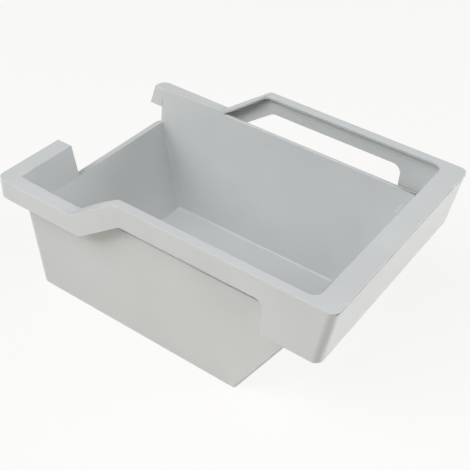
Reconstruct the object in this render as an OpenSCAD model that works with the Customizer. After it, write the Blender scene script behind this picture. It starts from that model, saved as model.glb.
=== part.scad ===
// Ice cube tray: the deep ice bin of a freezer, moulded in one piece.
// A drafted bin hangs in a rim that runs low round its rear half, climbs a
// smooth step on both sides and becomes a raised frame with a deep front box.
// X runs from the rear to the front, Z is up, and the base stands on Z = 0.

/* [Overall] */
// Length from the rear rim to the front face
tray_l = 310; // [290:1:340]
// Width across the rim
tray_w = 210; // [190:1:240]
// Height from the base to the top of the raised frame
tray_h = 150; // [144:1:165]
// Wall thickness of the moulding
wall_t = 2.5; // [2:0.1:3]

/* [Low rear rim] */
// Height of the low rim and of the bin's side walls
rim_h = 118; // [110:1:124]
// Width of the rim along the rear end
rear_rim_w = 15; // [12:0.5:20]
// Width of the low rim along each side
side_rim_w = 13.5; // [11:0.5:18]
// Height of the skirt that hangs from the low rim
skirt_h = 18; // [12:0.5:24]
// Outer corner radius at the rear
rear_corner_r = 8.5; // [6:0.5:12]

/* [Step in the rim] */
// Distance from the rear end to the foot of the step
step_start = 80.5; // [60:0.5:90]
// Slope of the step
step_angle = 36.5; // [30:0.5:42]
// Radius at the head of the step
step_r = 9; // [4:0.5:14]

/* [Raised frame] */
// Width of the frame's top along each side
frame_rim_w = 8; // [6:0.5:10]
// Width of the frame's top at the front
front_rim_w = 18.5; // [15:0.5:24]
// Height of the side bands over the windows
band_h = 19; // [14:0.5:24]
// Depth of the front box below the frame's top
box_h = 51; // [40:1:60]
// Length of the front box's side panels
box_l = 54.5; // [40:0.5:64]
// Corner radius of the window beside the box
window_r = 8; // [4:0.5:12]
// Outer corner radius at the front
front_corner_r = 7; // [5:0.5:10]
// Corner radius of the mouth at the front
mouth_r = 7.5; // [5:0.5:10]
// Height of the shadow groove along the front face
groove_h = 0.9; // [0.6:0.1:1.2]
// Depth of the shadow groove
groove_depth = 1.6; // [0.8:0.1:2]

/* [Bin] */
// Distance from the front face back to the front edge of the base
base_inset = 85.5; // [82:0.5:110]
// Thickness of the floor
floor_t = 2.8; // [2:0.1:4]
// Inner corner radius of the bin
bin_r = 2; // [1.5:0.5:4]
// Outer corner radius at the bin's front
bin_front_r = 3; // [2:0.5:6]
// Lean of the front wall
front_lean = 28; // [20:0.5:29]
// Length along the floor that the sloping rear wall takes
scoop_run = 27.7; // [20:0.1:36]

/* [Rear notch] */
// Height of the notch's floor
notch_h = 86; // [76:1:92]
// Place of the notch's near side, across the rear end
notch_near = -33; // [-60:1:0]
// How far the near side of the notch leans in on its way down
notch_lean = 4; // [0:0.5:8]
// Set-back of the rim's stub beyond the notch
stub_setback = 5; // [3:0.5:7]
// How far the stub's end leans out on its way down
stub_flare = 12; // [0:1:14]

/* [Clip tab] */
// Length of the small tab inside the front rim
tab_l = 14; // [8:1:20]
// Reach of the tab from the rim's edge
tab_reach = 4.5; // [3:0.5:6]
// Place of the tab's middle across the tray
tab_y = 27; // [0:1:60]

/* [Hidden] */
plastic = "#C3C5C2";
eps = 0.01;
over = 5;
side_draft = 1.2;
face_draft = 7.5;
wall_draft = 7;
panel_draft = 0.8;
throat_lean = 12;
throat_proud = 0.3;
arc_points = 6;
widen_points = 8;
round_fn = 48;
ball_fn = 32;

// Half widths and places of the drafted faces at the height z
function side_y(z) = tray_w / 2 - (tray_h - z) * tan(side_draft);
function face_x(z) = tray_l - (tray_h - z) * tan(face_draft);
function rear_x(z) = (rim_h - z) * tan(side_draft);
function wall_y(z) = mouth_y + wall_t - (rim_h - z) * tan(wall_draft);
function panel_x(z) = rear_rim_w - wall_t + (rim_h - z) * tan(panel_draft);
function lean_x(z) = base_front + z * tan(front_lean);

base_front = tray_l - base_inset;
mouth_y = tray_w / 2 - side_rim_w;
frame_y = tray_w / 2 - frame_rim_w;
rise = tray_h - rim_h;
step_run = rise / tan(step_angle);
widen_from = step_start + 0.42 * step_run;
widen_to = step_start + 1.1 * step_run;
box_x = tray_l - box_l;
front_mouth_x = tray_l - front_rim_w;
lean_t = wall_t / cos(front_lean);
scoop_x = rear_rim_w + (rim_h - notch_h) * tan(throat_lean) / 2;
scoop_foot = scoop_x + scoop_run;
scoop_a = atan(scoop_run / (notch_h - floor_t));

// Arc at the head of the step, where the slope meets a level line at [x, z]
function head_arc(x, z) =
    let (reach = step_r * tan(step_angle / 2))
    [for (i = [0:arc_points])
        let (a = 90 + step_angle * (1 - i / arc_points))
        [x + reach + step_r * cos(a), z - step_r + step_r * sin(a)]];

// Line along the rim, so far below its top behind the step and in front of it
function rim_line(low, high) =
    let (drop = (low + high) / 2 / cos(step_angle))
    concat(
        [[step_start + (drop - low) / tan(step_angle), rim_h - low]],
        head_arc(step_start + (rise + drop - high) / tan(step_angle), tray_h - high)
    );

function turned(line) = [for (i = [len(line) - 1:-1:0]) line[i]];

// Puts an outline drawn in X and Z across the whole width
module across(width) {
    rotate([90, 0, 0])
        linear_extrude(width, center = true)
            children();
}

// Side view of the rim, its skirt, the side bands and the front box
module rim_side_view() {
    band_z = tray_h - band_h;
    corner = [for (a = [0:15:90])
        [box_x - window_r + window_r * cos(a), band_z - window_r + window_r * sin(a)]];
    polygon(concat(
        [[-over, rim_h]],
        rim_line(0, 0),
        [[tray_l + over, tray_h], [tray_l + over, tray_h - box_h], [box_x, tray_h - box_h]],
        corner,
        turned(rim_line(skirt_h, band_h)),
        [[-over, rim_h - skirt_h]]
    ));
}

// Side view of the rim's top plate alone
module plate_side_view() {
    polygon(concat(
        [[-over, rim_h]],
        rim_line(0, 0),
        [[tray_l + over, tray_h], [tray_l + over, tray_h - wall_t]],
        turned(rim_line(wall_t, wall_t)),
        [[-over, rim_h - wall_t]]
    ));
}

// Block inside the drafted outer faces, set in by a wall for its hollow
module frame_block(inset) {
    low = tray_h - box_h - over;
    difference() {
        hull()
            for (z = [low, tray_h], s = [-1, 1]) {
                translate([rear_x(z) + rear_corner_r, s * (side_y(z) - rear_corner_r), z])
                    cylinder(h = eps, r = rear_corner_r - inset, $fn = round_fn);
                translate([face_x(z) - front_corner_r, s * (side_y(z) - front_corner_r), z])
                    cylinder(h = eps, r = front_corner_r - inset, $fn = round_fn);
            }
        multmatrix([[1, 0, tan(stub_flare), -rim_h * tan(stub_flare)], [0, 1, 0, 0], [0, 0, 1, 0]])
            translate([0, 0, low - over])
                linear_extrude(tray_h)
                    stub_plan(inset);
    }
}

// Plan of the space left free behind the set-back stub beyond the notch
module stub_plan(inset) {
    r = rear_corner_r;
    start = mouth_y - r;
    difference() {
        translate([-over, start])
            square([over + stub_setback + r, tray_w]);
        translate([stub_setback + r, side_y(rim_h) - r])
            circle(r - inset, $fn = round_fn);
        translate([stub_setback + inset, start - over])
            square([2 * r, side_y(rim_h) - r - start + over]);
    }
}

// Line along one side of the mouth, as it widens smoothly up the step
function mouth_side(s) =
    [for (i = [0:widen_points])
        let (t = i / widen_points)
        [widen_from + t * (widen_to - widen_from),
            s * (mouth_y + (frame_y - mouth_y) * (1 - cos(180 * t)) / 2)]];

// Plan of the mouth: narrow at the low rim, wider in the raised frame
module mouth_plan() {
    back_r = bin_r / 2;
    back = rear_rim_w + back_r;
    for (s = [-1, 1])
        translate([back, s * (mouth_y - back_r)])
            circle(back_r, $fn = round_fn);
    translate([rear_rim_w, -mouth_y + back_r])
        square([bin_r, 2 * (mouth_y - back_r)]);
    for (s = [-1, 1])
        translate([front_mouth_x - mouth_r, s * (frame_y - mouth_r)])
            circle(mouth_r, $fn = round_fn);
    translate([front_mouth_x - 2 * mouth_r, -frame_y + mouth_r])
        square([2 * mouth_r, 2 * (frame_y - mouth_r)]);
    polygon(concat(
        [[back, -mouth_y]],
        mouth_side(-1),
        [[front_mouth_x - mouth_r, -frame_y], [front_mouth_x - mouth_r, frame_y]],
        turned(mouth_side(1)),
        [[back, mouth_y]]
    ));
}

// Thin top plate of the rim, with the mouth cut through it
module rim_plate() {
    intersection() {
        across(tray_w + 2 * over)
            plate_side_view();
        difference() {
            frame_block(0);
            translate([0, 0, rim_h - skirt_h])
                linear_extrude(tray_h)
                    mouth_plan();
        }
    }
}

// Skirt, side bands and front box as one thin drafted wall
module rim_wall() {
    intersection() {
        across(tray_w + 2 * over)
            rim_side_view();
        difference() {
            frame_block(0);
            frame_block(wall_t);
        }
    }
}

// Outside of the bin down to the base
module bin_block() {
    hull()
        for (z = [0, rim_h - eps], s = [-1, 1]) {
            translate([panel_x(z) + rear_corner_r, s * (wall_y(z) - rear_corner_r), z])
                cylinder(h = eps, r = rear_corner_r, $fn = round_fn);
            translate([lean_x(z) - bin_front_r, s * (wall_y(z) - bin_front_r), z])
                cylinder(h = eps, r = bin_front_r, $fn = round_fn);
        }
}

// Inside of the bin, with its sloping rear wall
module bin_hollow() {
    slope = tan(front_lean);
    inner = [
        [rear_rim_w - over * tan(throat_lean) / 2, rim_h + over],
        [scoop_x, notch_h],
        [scoop_foot, floor_t],
        [base_front - lean_t + floor_t * slope, floor_t],
        [base_front - lean_t + (rim_h + over) * slope, rim_h + over]
    ];
    hull()
        for (p = inner, s = [-1, 1]) {
            low = p[1] == floor_t;
            rear = p[0] < tray_l / 2;
            lean = rear ? -scoop_a / 2 : front_lean;
            z = p[1] + (low ? bin_r : 0);
            reach = bin_r / cos(lean) + (low ? -bin_r * tan(lean) : 0);
            translate([p[0] + (rear ? reach : -reach), s * (wall_y(z) - wall_t - bin_r), z])
                sphere(bin_r / cos(180 / ball_fn), $fn = ball_fn);
        }
}

// Open space under the sloping rear wall, one wall inside the rear panel and its rounded corners
module foot_hollow() {
    top = notch_h - 3 * wall_t;
    foot = scoop_foot - wall_t / cos(scoop_a) + floor_t * tan(scoop_a);
    intersection() {
        across(tray_w)
            polygon([
                [0, -over], [0, top], [foot - top * tan(scoop_a), top],
                [foot + over * tan(scoop_a), -over]
            ]);
        hull()
            for (z = [-over, notch_h], x = [panel_x(z) + rear_corner_r, tray_l / 2], s = [-1, 1])
                translate([x, s * (wall_y(z) - rear_corner_r), z])
                    cylinder(h = eps, r = rear_corner_r - wall_t, $fn = round_fn);
    }
}

// The bin's front wall above the low rim, up to the front rim and out to both side panels
module throat_wall() {
    low = tray_h - box_h + wall_t / 2;
    top = tray_h - wall_t;
    intersection() {
        frame_block(wall_t / 2);
        across(tray_w)
            polygon([
                [lean_x(low) - lean_t / 2, low], [lean_x(low) + throat_proud, low],
                [lean_x(rim_h) + throat_proud, rim_h], [front_mouth_x + wall_t, top],
                [front_mouth_x + wall_t, top + wall_t / 2], [front_mouth_x + wall_t / 2, top + wall_t / 2],
                [front_mouth_x, top], [lean_x(rim_h) - lean_t, rim_h]
            ]);
    }
}

// Outline of the notch across the rear end, widened on both sides
module notch_outline(widen) {
    near_low = notch_near + notch_lean;
    far_low = wall_y(notch_h) - wall_t;
    far_top = wall_y(rim_h) - wall_t;
    polygon([
        [near_low - widen, notch_h], [far_low + widen, notch_h], [far_top + widen, rim_h],
        [far_top + widen, rim_h + over], [notch_near - widen, rim_h + over],
        [notch_near - widen, rim_h]
    ]);
}

// Cut through the rear wall, rim and skirt, up to the far wall's inner face
module notch_cut() {
    rotate([90, 0, 90])
        translate([0, 0, -over])
            linear_extrude(scoop_x + bin_r + over)
                notch_outline(0);
}

// Webs that close the rim's channel along both sides of the notch
module notch_webs() {
    intersection() {
        frame_block(0);
        rotate([90, 0, 90])
            linear_extrude(rear_rim_w)
                intersection() {
                    notch_outline(wall_t);
                    translate([-tray_w / 2, rim_h - skirt_h])
                        square([tray_w, skirt_h]);
                }
    }
}

// Thin groove that casts the dark line under the front rim
module face_groove() {
    length = 2 * (side_y(tray_h) - front_corner_r);
    translate([face_x(tray_h) - groove_depth, -length / 2, tray_h - 2 * groove_h])
        cube([over, length, groove_h]);
}

// Small tab under the inner edge of the front rim, round at its free corners
module clip_tab() {
    r = wall_t / 2;
    translate([front_mouth_x - tab_reach + r, tab_y, tray_h - 2 * wall_t])
        hull() {
            for (s = [-1, 1])
                translate([0, s * (tab_l / 2 - r), 0])
                    cylinder(h = wall_t, r = r, $fn = ball_fn);
            translate([tab_reach, -tab_l / 2, 0])
                cube([wall_t / 2, tab_l, wall_t]);
        }
}

// The whole moulding, moved so that its base is centred on the origin
module tray() {
    color(plastic)
        translate([-tray_l / 2, 0, 0])
            difference() {
                union() {
                    rim_plate();
                    rim_wall();
                    throat_wall();
                    clip_tab();
                    notch_webs();
                    difference() {
                        bin_block();
                        bin_hollow();
                        foot_hollow();
                    }
                }
                notch_cut();
                face_groove();
            }
}

tray();
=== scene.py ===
"""Finish, floor, light and camera for a deep ice cube tray moulded in one piece."""

import math

import bmesh
import bpy
from mathutils import Euler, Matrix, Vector, geometry


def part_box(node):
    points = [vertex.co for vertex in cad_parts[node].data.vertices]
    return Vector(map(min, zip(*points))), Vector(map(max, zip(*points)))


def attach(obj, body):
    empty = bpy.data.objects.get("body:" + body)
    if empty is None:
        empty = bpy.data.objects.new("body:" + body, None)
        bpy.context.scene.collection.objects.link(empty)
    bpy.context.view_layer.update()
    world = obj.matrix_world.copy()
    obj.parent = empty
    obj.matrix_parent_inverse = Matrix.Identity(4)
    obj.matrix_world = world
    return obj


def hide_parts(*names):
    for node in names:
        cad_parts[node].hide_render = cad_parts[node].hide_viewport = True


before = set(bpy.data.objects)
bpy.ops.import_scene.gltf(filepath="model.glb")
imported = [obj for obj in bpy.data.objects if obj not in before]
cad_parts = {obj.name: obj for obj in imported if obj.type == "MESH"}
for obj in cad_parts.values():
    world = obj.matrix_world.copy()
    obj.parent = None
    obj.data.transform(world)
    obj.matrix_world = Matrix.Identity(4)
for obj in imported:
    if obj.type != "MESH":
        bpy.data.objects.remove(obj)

bl_info = {
    "name": "Moulded Ice Cube Tray",
    "version": (1, 0, 0),
    "blender": (4, 5, 0),
    "location": "3D View > Sidebar > Ice Tray",
    "description": "Softens the edges of a moulded ice cube tray, finishes it and lights it",
    "category": "Object",
}

MM = 0.001
# Points of the construction closer than this are one, and points of the rounded edges likewise
SAME_POINT = 0.05 * MM
SAME_CORNER = 0.003 * MM
SLIVER = 0.03 * MM
# Faces that meet at less than this are one flat face
FLAT_ANGLE = math.radians(0.8)
# Two edges that meet at less than this in a face close to a point
POINT_ANGLE = math.radians(20)
SMOOTH_ANGLE = math.radians(40)
# An edge that runs less than this share of its length beside another one leads across to it
ACROSS = 0.7
# Shares of the gap between two edges that a rounding may take: alone, or where both are rounded
WHOLE_GAP = 0.9
HALF_GAP = 0.45
# Heights, depths and the place of the construction that the edges and the painted shade along the
# groove are found by
CLOSE_TO = 0.1 * MM
BAND_HEIGHT = 19 * MM
GROOVE_HEIGHT = 0.9 * MM
GROOVE_DEPTH = 1.6 * MM
FLOOR_GAP = 0.05 * MM
LAMP_TARGET = Vector((0, 0, 70 * MM))
# Place of each soft lamp in metres, its side in metres and its power in watts
LAMPS = {
    "near_high_lamp": ((-0.21, -1.18, 2.15), 1.4, 22.0),
    "near_left_lamp": ((-1.13, -1.61, 1.45), 1.4, 27.0),
    "left_low_lamp": ((-2.03, -1.17, 0.57), 1.4, 8.0),
    "front_high_lamp": ((1.6, 0.14, 1.85), 1.4, 16.5),
    "front_low_lamp": ((1.92, 1.35, 0.57), 1.4, 40.0),
}


class TraySettings(bpy.types.PropertyGroup):
    """Edges and plastic of the tray."""

    edge_radius: bpy.props.FloatProperty(
        name="Edge radius",
        description="Radius that the mould leaves on every edge and inside corner",
        default=0.7 * MM,
        min=0.1 * MM,
        max=1.0 * MM,
        precision=5,
        unit="LENGTH",
        subtype="DISTANCE",
    )
    band_radius: bpy.props.FloatProperty(
        name="Band radius",
        description="Larger radius along the lower outer edges of the side bands",
        default=1.7 * MM,
        min=0.1 * MM,
        max=1.7 * MM,
        precision=5,
        unit="LENGTH",
        subtype="DISTANCE",
    )
    edge_segments: bpy.props.IntProperty(
        name="Edge segments",
        description="Faces across each rounded edge",
        default=3,
        min=1,
        max=5,
    )
    edge_angle: bpy.props.FloatProperty(
        name="Edge angle",
        description="Faces that meet at more than this angle have a rounded edge",
        default=math.radians(24),
        unit="ROTATION",
        subtype="ANGLE",
    )
    plastic_colour: bpy.props.FloatVectorProperty(
        name="Plastic colour",
        description="Colour of the moulded plastic",
        default=(0.61, 0.63, 0.63),
        size=3,
        min=0.0,
        max=1.0,
        subtype="COLOR",
    )
    colour_variation: bpy.props.FloatProperty(
        name="Colour variation",
        description="How far the colour drifts from place to place, as a part of its brightness",
        default=0.03,
        min=0.0,
        max=0.2,
        subtype="FACTOR",
    )
    # Painted shade: the plastic's colour along and just beside the front groove is darkened to this
    # part, in place of the groove's shadow
    groove_shade: bpy.props.FloatProperty(
        name="Groove shade",
        description="Colour of the soiled groove, as a part of the clean plastic's colour",
        default=0.38,
        min=0.0,
        max=1.0,
        subtype="FACTOR",
    )
    roughness: bpy.props.FloatProperty(
        name="Roughness",
        description="Roughness of the satin surface",
        default=0.42,
        min=0.0,
        max=1.0,
        subtype="FACTOR",
    )
    grain_size: bpy.props.FloatProperty(
        name="Grain size",
        description="Width of one grain of the mould's spark-eroded texture",
        default=0.5 * MM,
        precision=5,
        unit="LENGTH",
        subtype="DISTANCE",
    )
    grain_depth: bpy.props.FloatProperty(
        name="Grain depth",
        description="Depth of the texture",
        default=0.02 * MM,
        precision=6,
        unit="LENGTH",
        subtype="DISTANCE",
    )


class StudioSettings(bpy.types.PropertyGroup):
    """Floor, lamps and camera."""

    floor_colour: bpy.props.FloatVectorProperty(
        name="Floor colour",
        description="Colour of the floor that the tray's light bounces off",
        default=(0.8, 0.765, 0.695),
        size=3,
        min=0.0,
        max=1.0,
        subtype="COLOR",
    )
    floor_side: bpy.props.FloatProperty(
        name="Floor side",
        description="Length of the square floor's side",
        default=8.0,
        unit="LENGTH",
        subtype="DISTANCE",
    )
    floor_glow: bpy.props.FloatProperty(
        name="Floor glow",
        description="How far the camera and reflections see the floor turned to white",
        default=0.85,
        min=0.0,
        max=1.0,
        subtype="FACTOR",
    )
    lamp_strength: bpy.props.FloatProperty(
        name="Lamp strength",
        description="Power of every lamp, as a part of the power in the list of lamps",
        default=1.0,
        min=0.0,
    )
    lens: bpy.props.FloatProperty(
        name="Lens",
        description="Focal length in millimetres, for a sensor 36 mm wide",
        default=68.61,
    )
    camera_place: bpy.props.FloatVectorProperty(
        name="Camera place",
        description="Where the camera stands",
        default=(0.31756, -0.48824, 0.54153),
        size=3,
        unit="LENGTH",
        subtype="TRANSLATION",
    )
    camera_turn: bpy.props.FloatVectorProperty(
        name="Camera turn",
        description="Turn of the camera about X, Y and Z",
        default=[math.radians(angle) for angle in (51.054, -3.286, 34.969)],
        size=3,
        unit="ROTATION",
        subtype="EULER",
    )


def select_only(piece):
    """Makes one object the only selected one and the active one."""
    bpy.ops.object.select_all(action="DESELECT")
    piece.select_set(True)
    bpy.context.view_layer.objects.active = piece


def add_node(nodes, kind, place, **values):
    """Adds a shader node at a place in the editor and sets its attributes."""
    node = nodes.new(kind)
    node.location = place
    for name, value in values.items():
        setattr(node, name, value)
    return node


def add_noise(tree, coordinates, size, detail, place):
    """Adds a noise pattern whose blotches are about as wide as the size."""
    noise = add_node(tree.nodes, "ShaderNodeTexNoise", place, noise_dimensions="3D")
    noise.inputs["Scale"].default_value = 1 / size
    noise.inputs["Detail"].default_value = detail
    noise.inputs["Roughness"].default_value = 0.5
    tree.links.new(coordinates.outputs["Object"], noise.inputs["Vector"])
    return noise


def add_range(tree, source, low, high, place):
    """Adds a node that turns a pattern's middle range into the range from low to high."""
    spread = add_node(tree.nodes, "ShaderNodeMapRange", place)
    spread.inputs["From Min"].default_value = 0.3
    spread.inputs["From Max"].default_value = 0.7
    spread.inputs["To Min"].default_value = low
    spread.inputs["To Max"].default_value = high
    tree.links.new(source.outputs["Fac"], spread.inputs["Value"])
    return spread


def add_window(tree, source, middle, reach, place):
    """Adds a node that gives 1 where a value lies within reach of the middle, and 0 elsewhere."""
    window = add_node(tree.nodes, "ShaderNodeMath", place, operation="COMPARE")
    window.inputs[1].default_value = middle
    window.inputs[2].default_value = reach
    tree.links.new(source, window.inputs[0])
    return window


def add_groove_painted_shade(tree, coordinates, shade):
    """Adds nodes that give painted shade, in place of the groove's shadow, along and just beside
    the front groove, and else 1.
    """
    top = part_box("tray")[1]
    parts = add_node(tree.nodes, "ShaderNodeSeparateXYZ", (-1100, 600))
    tree.links.new(coordinates.outputs["Object"], parts.inputs["Vector"])
    height = add_window(
        tree, parts.outputs["Z"], top.z - 1.5 * GROOVE_HEIGHT, 0.8 * GROOVE_HEIGHT, (-900, 700)
    )
    depth = add_window(tree, parts.outputs["X"], top.x, 1.1 * GROOVE_DEPTH, (-900, 550))
    inside = add_node(tree.nodes, "ShaderNodeMath", (-700, 600), operation="MULTIPLY")
    tree.links.new(height.outputs["Value"], inside.inputs[0])
    tree.links.new(depth.outputs["Value"], inside.inputs[1])
    painted_groove_shade = add_node(tree.nodes, "ShaderNodeMapRange", (-500, 600))
    painted_groove_shade.inputs["To Min"].default_value = 1.0
    painted_groove_shade.inputs["To Max"].default_value = shade
    tree.links.new(inside.outputs["Value"], painted_groove_shade.inputs["Value"])
    return painted_groove_shade


def satin_plastic(settings):
    """Light grey moulded plastic with faint flow marks, painted shade along the front groove, a
    satin sheen and a fine grain.
    """
    material = bpy.data.materials.new("satin_grey_plastic")
    material.use_nodes = True
    tree = material.node_tree
    shader = tree.nodes["Principled BSDF"]
    shader.inputs["IOR"].default_value = 1.5
    coordinates = add_node(tree.nodes, "ShaderNodeTexCoord", (-1100, 0))

    flow = add_noise(tree, coordinates, 60 * MM, 3, (-900, 300))
    tone = add_range(
        tree, flow, 1 - settings.colour_variation, 1 + settings.colour_variation, (-700, 300)
    )
    colour = add_node(
        tree.nodes, "ShaderNodeMix", (-450, 300), data_type="RGBA", blend_type="MULTIPLY"
    )
    colour.inputs["Factor"].default_value = 1.0
    colour.inputs["A"].default_value = (*settings.plastic_colour, 1)
    # Painted shade darkens the colour along the front groove, in place of its shadow
    painted_groove_shade = add_groove_painted_shade(tree, coordinates, settings.groove_shade)
    shade = add_node(tree.nodes, "ShaderNodeMath", (-600, 450), operation="MULTIPLY")
    tree.links.new(tone.outputs["Result"], shade.inputs[0])
    tree.links.new(painted_groove_shade.outputs["Result"], shade.inputs[1])
    tree.links.new(shade.outputs["Value"], colour.inputs["B"])
    tree.links.new(colour.outputs["Result"], shader.inputs["Base Color"])

    rub = add_noise(tree, coordinates, 18 * MM, 4, (-900, 0))
    sheen = add_range(tree, rub, settings.roughness - 0.02, settings.roughness + 0.02, (-700, 0))
    tree.links.new(sheen.outputs["Result"], shader.inputs["Roughness"])

    grain = add_noise(tree, coordinates, settings.grain_size, 2, (-900, -300))
    relief = add_node(tree.nodes, "ShaderNodeBump", (-450, -300))
    relief.inputs["Strength"].default_value = 1.0
    relief.inputs["Distance"].default_value = settings.grain_depth
    tree.links.new(grain.outputs["Fac"], relief.inputs["Height"])
    tree.links.new(relief.outputs["Normal"], shader.inputs["Normal"])
    return material


def copy_of_solid(name, new_name):
    """Copies a solid of the construction and joins its loose triangles into closed, flat faces."""
    piece = bpy.data.objects.new(new_name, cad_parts[name].data.copy())
    bpy.context.scene.collection.objects.link(piece)
    piece.data.materials.clear()
    select_only(piece)
    bpy.ops.object.mode_set(mode="EDIT")
    bpy.ops.mesh.select_all(action="SELECT")
    bpy.ops.mesh.remove_doubles(threshold=SAME_POINT)
    bpy.ops.mesh.dissolve_degenerate(threshold=SLIVER)
    bpy.ops.mesh.dissolve_limited(angle_limit=FLAT_ANGLE)
    bpy.ops.object.mode_set(mode="OBJECT")
    return piece


def is_sharp(edge, settings):
    """Tells whether two faces meet at an edge that the mould rounds."""
    return edge.calc_face_angle(0) > settings.edge_angle


def join_narrow_rows(solid, settings):
    """Joins rows of faces too narrow for the rounding to the sharp edge that they run along."""
    joined = True
    while joined:
        joined = {}
        for edge in [edge for edge in solid.edges if is_sharp(edge, settings)]:
            along = (edge.verts[1].co - edge.verts[0].co).normalized()
            for point in edge.verts:
                for step in point.link_edges:
                    end = step.other_vert(point)
                    across = (end.co - point.co).normalized()
                    if (
                        step.calc_length() < settings.edge_radius
                        and abs(across.dot(along)) < ACROSS
                        and not any(is_sharp(other, settings) for other in end.link_edges)
                    ):
                        joined.setdefault(end, point)
        bmesh.ops.weld_verts(solid, targetmap=joined)


def edge_gap(one, other):
    """Gives the least distance between two straight edges of a face."""
    gaps = []
    for first, second in ((one, other), (other, one)):
        start, end = (point.co for point in second.verts)
        for point in first.verts:
            share = geometry.intersect_point_line(point.co, start, end)[1]
            gaps.append((point.co - start.lerp(end, min(max(share, 0), 1))).length)
    return min(gaps)


def room_beside(edge, settings):
    """Gives the largest radius that an edge can have before it meets another one of its faces."""
    rooms = [
        edge_gap(edge, other) * (HALF_GAP if is_sharp(other, settings) else WHOLE_GAP)
        for face in edge.link_faces
        for other in face.edges
        if not set(other.verts) & set(edge.verts)
    ]
    return min(rooms, default=settings.band_radius)


def round_edges(piece, settings):
    """Rounds every sharp edge, and the lower outer edges of the side bands more than the others."""
    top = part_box("tray")[1].copy()
    solid = bmesh.new()
    solid.from_mesh(piece.data)
    weights = solid.edges.layers.float.new("bevel_weight_edge")
    join_narrow_rows(solid, settings)
    for edge in [edge for edge in solid.edges if is_sharp(edge, settings)]:
        # The groove's lips stay sharp, so that it casts a crisp line
        if all(
            0.8 * GROOVE_HEIGHT < top.z - end.co.z < 2.2 * GROOVE_HEIGHT
            and top.x - end.co.x < 1.5 * GROOVE_DEPTH
            for end in edge.verts
        ):
            continue
        under_band = all(
            abs(end.co.z - (top.z - BAND_HEIGHT)) < CLOSE_TO
            and abs(end.co.y) > top.y - settings.band_radius
            for end in edge.verts
        )
        radius = settings.band_radius if under_band else settings.edge_radius
        edge[weights] = min(radius, room_beside(edge, settings)) / settings.band_radius
    # Where two edges close to a point in a face, the one in the inside corner stays sharp
    for face in solid.faces:
        for corner in face.loops:
            if corner.calc_angle() < POINT_ANGLE:
                for edge in (corner.edge, corner.link_loop_prev.edge):
                    if not edge.is_convex:
                        edge[weights] = 0
    solid.to_mesh(piece.data)
    solid.free()

    edges = piece.modifiers.new("soft_edges", "BEVEL")
    edges.width = settings.band_radius
    edges.segments = settings.edge_segments
    edges.limit_method = "WEIGHT"
    edges.use_clamp_overlap = False
    edges.miter_outer = "MITER_ARC"
    bpy.ops.object.modifier_apply(modifier=edges.name)
    bpy.ops.object.mode_set(mode="EDIT")
    bpy.ops.mesh.select_all(action="SELECT")
    bpy.ops.mesh.remove_doubles(threshold=SAME_CORNER)
    bpy.ops.object.mode_set(mode="OBJECT")


class ICETRAY_OT_tray(bpy.types.Operator):
    """Makes the one-piece tray with softened edges and satin plastic."""

    bl_idname = "ice_tray.tray"
    bl_label = "Moulded Tray"

    def execute(self, context):
        settings = context.scene.tray_settings
        tray = copy_of_solid("tray", "moulded_tray")
        round_edges(tray, settings)
        bpy.ops.object.shade_smooth_by_angle(angle=SMOOTH_ANGLE)
        shading = tray.modifiers.new("even_shading", "WEIGHTED_NORMAL")
        shading.keep_sharp = True
        bpy.ops.object.modifier_apply(modifier=shading.name)

        tray.data.materials.append(satin_plastic(settings))
        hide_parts("tray")
        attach(tray, "root")
        return {"FINISHED"}


def seen_directly(tree):
    """Adds nodes that give 1 for what the camera, a reflection or a clear surface shows."""
    rays = add_node(tree.nodes, "ShaderNodeLightPath", (-500, 300))
    either = add_node(tree.nodes, "ShaderNodeMath", (-300, 300), operation="MAXIMUM")
    any_of = add_node(tree.nodes, "ShaderNodeMath", (-100, 300), operation="MAXIMUM")
    tree.links.new(rays.outputs["Is Camera Ray"], either.inputs[0])
    tree.links.new(rays.outputs["Is Glossy Ray"], either.inputs[1])
    tree.links.new(either.outputs["Value"], any_of.inputs[0])
    tree.links.new(rays.outputs["Is Transmission Ray"], any_of.inputs[1])
    return any_of


def pale_floor(colour, glow):
    """Plain pale floor, seen nearly white with the tray's soft shadow on it."""
    material = bpy.data.materials.new("pale_floor")
    material.use_nodes = True
    tree = material.node_tree
    shader = tree.nodes["Principled BSDF"]
    shader.inputs["Roughness"].default_value = 0.9
    shader.inputs["Specular IOR Level"].default_value = 0.1
    shader.inputs["Base Color"].default_value = (*colour, 1)
    seen = seen_directly(tree)
    share = add_node(tree.nodes, "ShaderNodeMath", (100, 300), operation="MULTIPLY")
    share.inputs[1].default_value = glow
    white = add_node(tree.nodes, "ShaderNodeEmission", (100, 100))
    blend = add_node(tree.nodes, "ShaderNodeMixShader", (500, 300))
    tree.links.new(seen.outputs["Value"], share.inputs[0])
    tree.links.new(share.outputs["Value"], blend.inputs["Fac"])
    tree.links.new(shader.outputs["BSDF"], blend.inputs[1])
    tree.links.new(white.outputs["Emission"], blend.inputs[2])
    tree.links.new(blend.outputs["Shader"], tree.nodes["Material Output"].inputs["Surface"])
    return material


def light_room(scene):
    """White surroundings that the camera and reflections see, and that give no other light."""
    room = bpy.data.worlds.new("studio_room")
    scene.world = room
    room.use_nodes = True
    tree = room.node_tree
    seen = seen_directly(tree)
    white = tree.nodes["Background"]
    white.inputs["Color"].default_value = (1, 1, 1, 1)
    tree.links.new(seen.outputs["Value"], white.inputs["Strength"])


def hang_lamp(scene, name, place, side, power):
    """Hangs a square soft lamp and aims it at the tray."""
    lamp = bpy.data.lights.new(name, "AREA")
    lamp.shape = "SQUARE"
    lamp.size = side
    lamp.energy = power
    holder = bpy.data.objects.new(name, lamp)
    scene.collection.objects.link(holder)
    holder.location = place
    holder.rotation_euler = (LAMP_TARGET - Vector(place)).to_track_quat("-Z", "Y").to_euler()


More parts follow.
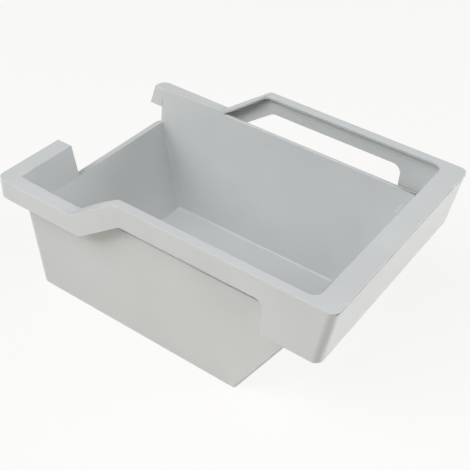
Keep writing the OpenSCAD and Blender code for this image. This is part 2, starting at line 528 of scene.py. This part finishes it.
class ICETRAY_OT_studio(bpy.types.Operator):
    """Lays the floor, lights the tray and sets up the camera."""

    bl_idname = "ice_tray.studio"
    bl_label = "Studio"

    def execute(self, context):
        scene = context.scene
        studio = scene.studio_settings
        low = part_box("tray")[0]

        bpy.ops.object.select_all(action="DESELECT")
        bpy.ops.mesh.primitive_plane_add(
            size=studio.floor_side, location=(0, 0, low.z - FLOOR_GAP)
        )
        floor = context.active_object
        floor.name = "floor"
        floor.data.materials.append(pale_floor(studio.floor_colour, studio.floor_glow))

        light_room(scene)
        for name, (place, side, power) in LAMPS.items():
            hang_lamp(scene, name, place, side, power * studio.lamp_strength)

        lens = bpy.data.cameras.new("camera")
        lens.sensor_width = 36
        lens.lens = studio.lens
        lens.clip_start = 0.01
        holder = bpy.data.objects.new("camera", lens)
        scene.collection.objects.link(holder)
        holder.location = studio.camera_place
        holder.rotation_euler = Euler(studio.camera_turn)
        scene.camera = holder
        scene.view_settings.view_transform = "Standard"
        return {"FINISHED"}


class ICETRAY_PT_panel(bpy.types.Panel):
    """Lists the steps that make the tray."""

    bl_label = "Ice Tray"
    bl_idname = "ICETRAY_PT_panel"
    bl_space_type = "VIEW_3D"
    bl_region_type = "UI"
    bl_category = "Ice Tray"

    def draw(self, context):
        for step in STEPS:
            self.layout.operator(step.bl_idname)


STEPS = (ICETRAY_OT_tray, ICETRAY_OT_studio)
GROUPS = {"tray_settings": TraySettings, "studio_settings": StudioSettings}


def register():
    """Registers the settings, the steps and the panel."""
    for made in (*GROUPS.values(), *STEPS, ICETRAY_PT_panel):
        bpy.utils.register_class(made)
    for name, group in GROUPS.items():
        setattr(bpy.types.Scene, name, bpy.props.PointerProperty(type=group))


def unregister():
    """Removes what register added."""
    for name in GROUPS:
        delattr(bpy.types.Scene, name)
    for made in reversed((*GROUPS.values(), *STEPS, ICETRAY_PT_panel)):
        bpy.utils.unregister_class(made)


def main():
    """Makes the tray and its studio."""
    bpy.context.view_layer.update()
    register()
    bpy.ops.ice_tray.tray()
    bpy.ops.ice_tray.studio()


if __name__ == "__main__":
    main()
